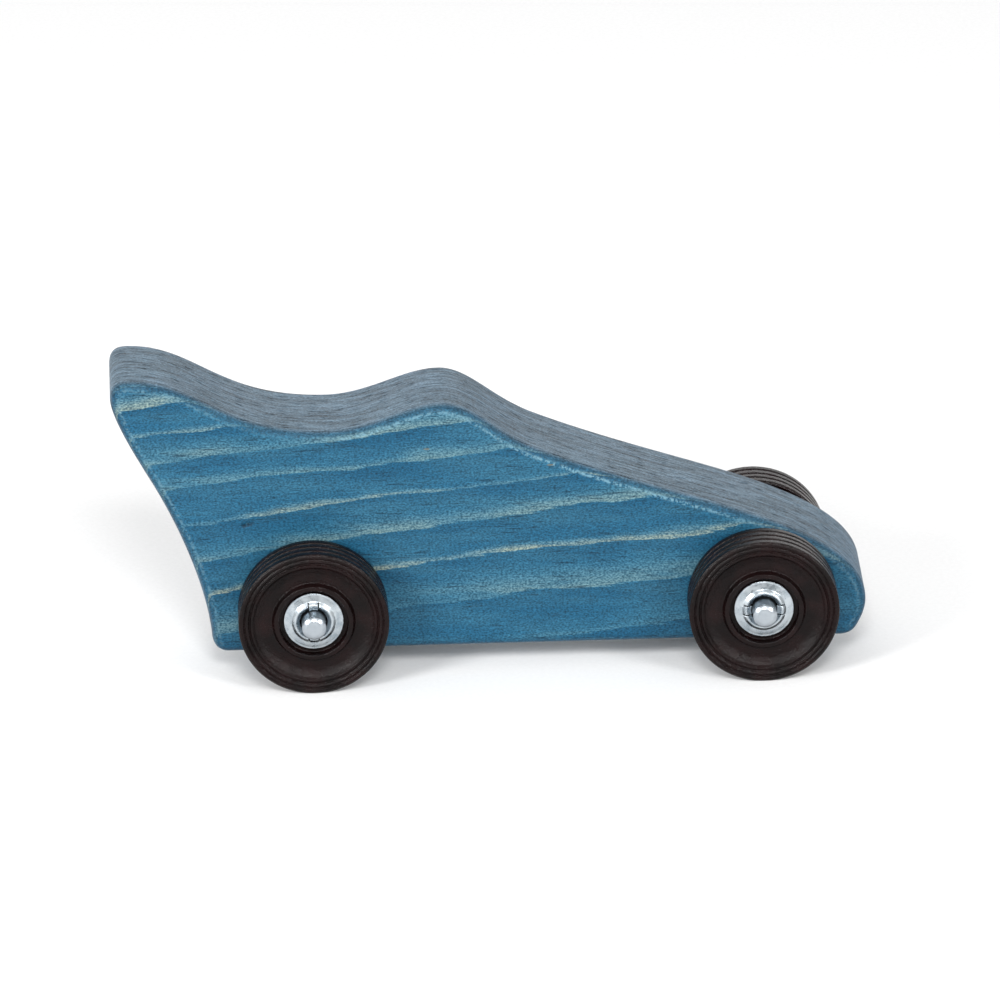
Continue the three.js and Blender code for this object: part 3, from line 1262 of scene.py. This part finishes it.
@dataclass
class SpacerWasher:
    """A plain stamped washer between the board and a wheel, in millimetres."""

    finish: bpy.types.Material
    hole_radius: float = 4.75
    stamped_round: float = 0.35
    sides: int = 96

    def build(self, end: End, side: Side) -> bpy.types.Object:
        """Makes one washer.

        Args:
            end: The axle that it is on.
            side: The side of the car that it is on.

        Returns:
            The washer, riding on the axle.
        """
        node = f"{end.value}_{side.value}_washer"
        low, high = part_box(node)
        half, radius = (high[1] - low[1]) / 2 / MM, (high[2] - low[2]) / 2 / MM
        corners = (
            Corner(self.hole_radius, -half, self.stamped_round / 2),
            Corner(radius, -half, self.stamped_round / 2),
            Corner(radius, half, self.stamped_round),
            Corner(self.hole_radius, half, self.stamped_round),
        )
        profile = [(r * MM, y * MM) for r, y in fillet(corners)]
        name = f"{end.value}_{side.value}_plated_washer"
        piece = turned_piece(name, profile, self.sides, self.finish)
        place = Matrix.Translation(middle(node))
        piece.matrix_world = place @ Matrix.Rotation(side.turn, 4, "Z")
        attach(piece, f"{end.value}_axle_set")
        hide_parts(node)
        return piece


@dataclass
class PushNut:
    """A pressed push nut: a flange, a raised crown and two slit tangs that bite the axle.

    Sizes are in millimetres. Distances along the axis start at the flange's back.
    """

    finish: bpy.types.Material
    sheet: float = 0.62
    flange_radius: float = 10.5
    step_radius: float = 9.6
    knee_radius: float = 7.4
    knee_height: float = 1.15
    crown_radius: float = 6.2
    crown_height: float = 2.45
    throat_radius: float = 4.85
    throat_height: float = 0.7
    tang_tip_radius: float = 4.5
    tang_tip_height: float = 1.1
    tang_half_width: float = 1.75
    slit_half_width: float = 0.22
    slit_end_radius: float = 7.3
    rim_share: float = 0.7  # height of the rim and of the step, as shares of the sheet
    step_share: float = 0.75
    step_round: float = 2.0
    knee_round: float = 0.8
    crown_round: float = 0.4
    crown_lip: Point = (0.5, 0.9)  # the crown's inner edge, inwards and down from its top
    fine_turn: float = math.radians(9)
    row_step: float = 0.3
    crisp_turn: float = 40.0
    columns: int = 180

    def section(self) -> list[tuple[float, float, float]]:
        """The sheet's middle surface from the rim to the throat.

        Returns:
            For each point, its radius, its place along the axis and how far it is towards the
            throat, from 0 at the slits' ends to 1 at the edge.
        """
        inwards, down = self.crown_lip
        corners = (
            Corner(self.flange_radius - self.sheet / 2, self.sheet * self.rim_share),
            Corner(self.step_radius, self.sheet * self.step_share, self.step_round),
            Corner(self.knee_radius, self.knee_height, self.knee_round),
            Corner(self.crown_radius, self.crown_height - self.sheet / 2, self.crown_round),
            Corner(self.crown_radius - inwards, self.crown_height - down, self.crown_round),
            Corner(self.throat_radius, self.throat_height),
        )
        closed = fillet((*corners, Corner(0.0, 0.0)), self.fine_turn)
        rows = [p for p in closed if p != (0.0, 0.0)]
        dense: list[Point] = []
        for a, b in zip(rows, rows[1:]):
            parts = max(1, math.ceil(math.dist(a, b) / self.row_step))
            dense += [(a[0] + (b[0] - a[0]) * k / parts, a[1] + (b[1] - a[1]) * k / parts)
                      for k in range(parts)]
        dense.append(rows[-1])
        reach = self.slit_end_radius - self.throat_radius
        return [(r, y, max(0.0, (self.slit_end_radius - r) / reach)) for r, y in dense]

    def place(self, row: tuple[float, float, float], angle: float) -> tuple[float, float, float]:
        """Puts a point of the section round the axis, bending the tangs up to the axle.

        Args:
            row: Radius, place along the axis and nearness to the throat.
            angle: The angle round the axis, with a tang at 0 and at pi.

        Returns:
            The point in x, y and z, in metres.
        """
        radius, along, near = row
        aside = abs(math.sin(angle)) * radius
        if aside < self.tang_half_width and near > 0:
            pull = near * near
            radius += (self.tang_tip_radius - self.throat_radius) * pull
            along += (self.tang_tip_height - self.throat_height) * pull
        return (radius * math.cos(angle) * MM, along * MM, radius * math.sin(angle) * MM)

    def build(self, end: End, side: Side) -> bpy.types.Object:
        """Makes one push nut.

        Args:
            end: The axle that it is on.
            side: The side of the car that it is on.

        Returns:
            The nut, riding on the axle.
        """
        node = f"{end.value}_{side.value}_push_nut"
        rows = self.section()
        steps = [2 * math.pi * k / self.columns for k in range(self.columns)]
        vertices = [self.place(row, angle) for row in rows for angle in steps]
        faces = []
        for r in range(len(rows) - 1):
            radius = (rows[r][0] + rows[r + 1][0]) / 2
            for k in range(self.columns):
                angle = steps[k] + math.pi / self.columns
                aside = abs(abs(math.sin(angle)) * radius - self.tang_half_width)
                if rows[r][2] > 0 and aside < self.slit_half_width:
                    continue
                n = (k + 1) % self.columns
                a, b = r * self.columns + k, r * self.columns + n
                faces.append((a, a + self.columns, b + self.columns, b))
        name = f"{end.value}_{side.value}_pressed_nut"
        piece = new_piece(name, vertices, faces, self.finish, self.crisp_turn)
        thick = piece.modifiers.new("sheet", "SOLIDIFY")
        thick.thickness = self.sheet * MM
        thick.offset = 0.0
        thick.use_even_offset = True
        low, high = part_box(node)
        centre = middle(node)
        back = low[1] if side is Side.LEFT else high[1]
        spin = math.pi / 2 if end is End.REAR else 0.0
        turn = Matrix.Rotation(side.turn, 4, "Z") @ Matrix.Rotation(spin, 4, "Y")
        piece.matrix_world = Matrix.Translation((centre.x, back, centre.z)) @ turn
        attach(piece, f"{end.value}_axle_set")
        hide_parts(node)
        return piece


# ---- The studio -----------------------------------------------------------------------------


@dataclass(frozen=True)
class Lamp:
    """A square soft box that faces the car: its place and side in metres, and its power."""

    name: str
    place: tuple[float, float, float]
    size: float
    watts: float


@dataclass
class Studio:
    """Pale paper floor, soft light and the camera."""

    floor_size: float = 12.0
    sky: str = "#ffffff"
    dim_sky: float = 0.5
    bright_sky: float = 1.6  # behind the car, as the camera sees it
    sky_limits: Point = (0.35, 0.85)  # how far ahead a direction points where each begins
    lamps: tuple[Lamp, ...] = (
        Lamp("left_soft_box", (-1.7, -1.55, 1.05), 0.65, 48.0),
        Lamp("right_soft_box", (1.6, -1.7, 1.05), 0.6, 29.0),
        Lamp("front_soft_box", (0.0, -1.8, 1.45), 0.55, 24.0),
    )
    camera_distance: float = 3.441
    camera_azimuth: float = math.radians(-2.267)
    camera_elevation: float = math.radians(22.405)
    camera_roll: float = math.radians(-0.682)
    target_from_rear_axle: tuple = (0.06557, 0.0, 0.03264)
    lens_mm: float = 360.0
    sensor_mm: float = 36.0
    camera_reach: float = 50.0

    def floor(self) -> bpy.types.Object:
        """Lays the paper.

        Returns:
            The floor.
        """
        half = self.floor_size / 2
        corners = [(-half, -half, 0), (half, -half, 0), (half, half, 0), (-half, half, 0)]
        paper = new_piece("paper_floor", corners, [(0, 1, 2, 3)], FloorPaper().build())
        return paper

    def hang(self, lamp: Lamp) -> bpy.types.Object:
        """Hangs one soft box.

        Args:
            lamp: The soft box.

        Returns:
            Its light, facing the car.
        """
        data = bpy.data.lights.new(lamp.name, "AREA")
        data.shape = "SQUARE"
        data.size = lamp.size
        data.energy = lamp.watts
        light = bpy.data.objects.new(lamp.name, data)
        light.location = lamp.place
        light.rotation_euler = (-Vector(lamp.place)).to_track_quat("-Z", "Y").to_euler()
        bpy.context.scene.collection.objects.link(light)
        return light

    def light(self) -> None:
        """Hangs the lamps and sets the even light all round, brighter behind the car."""
        world = bpy.data.worlds.new("studio_light")
        bpy.context.scene.world = world
        world.use_nodes = True
        node = partial(add_node, world.node_tree)
        direction = node("TexCoord", output="Generated")
        ahead = node("SeparateXYZ", (direction,), output=1)
        limits = (ahead, *self.sky_limits, self.dim_sky, self.bright_sky)
        sky = world.node_tree.nodes["Background"]
        sky.inputs["Color"].default_value = linear(self.sky)
        world.node_tree.links.new(node("MapRange", limits), sky.inputs["Strength"])
        for lamp in self.lamps:
            self.hang(lamp)

    def camera(self) -> bpy.types.Object:
        """Sets up the camera.

        Returns:
            The camera, made the scene's own.
        """
        data = bpy.data.cameras.new("camera")
        data.lens = self.lens_mm
        data.sensor_width = self.sensor_mm
        data.sensor_fit = "HORIZONTAL"
        data.clip_end = self.camera_reach
        turn, lift = self.camera_azimuth, self.camera_elevation
        back = Vector(
            (math.sin(turn) * math.cos(lift), -math.cos(turn) * math.cos(lift), math.sin(lift))
        )
        target = middle("rear_axle") + Vector(self.target_from_rear_axle)
        camera = bpy.data.objects.new("camera", data)
        level = back.to_track_quat("Z", "Y").to_matrix().to_4x4()
        roll = Matrix.Rotation(self.camera_roll, 4, "Z")
        place = Matrix.Translation(target + back * self.camera_distance)
        camera.matrix_world = place @ level @ roll
        bpy.context.scene.collection.objects.link(camera)
        bpy.context.scene.camera = camera
        return camera

    def build(self) -> None:
        """Sets the whole studio up."""
        bpy.context.scene.view_settings.view_transform = "Standard"
        self.camera()
        self.floor()
        self.light()


# ---- The whole car --------------------------------------------------------------------------


def report(piece: bpy.types.Object) -> None:
    """Logs a finished piece's name and size."""
    size = ", ".join(f"{side / MM:.1f}" for side in piece.dimensions)
    LOG.info("%s: %s mm", piece.name, size)


def main() -> None:
    """Builds the studio and the car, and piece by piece."""
    logging.basicConfig(level=logging.INFO, format="%(name)s: %(message)s")
    Studio().build()
    report(BodyBoard().build())
    axle = SteelAxle(PlatedSteel("drawn_steel_rod", "#b2b9bf", "#a2aab1", 0.3).build())
    washer = SpacerWasher(PlatedSteel("zinc_plated_washer", roughness=0.3).build())
    wheel = ToyWheel(MouldedPlastic().build())
    nut = PushNut(PlatedSteel("bright_zinc_push_nut").build())
    for end in End:
        report(axle.build(end))
        for side in Side:
            for part in (washer, wheel, nut):
                report(part.build(end, side))


if __name__ == "__main__":
    main()
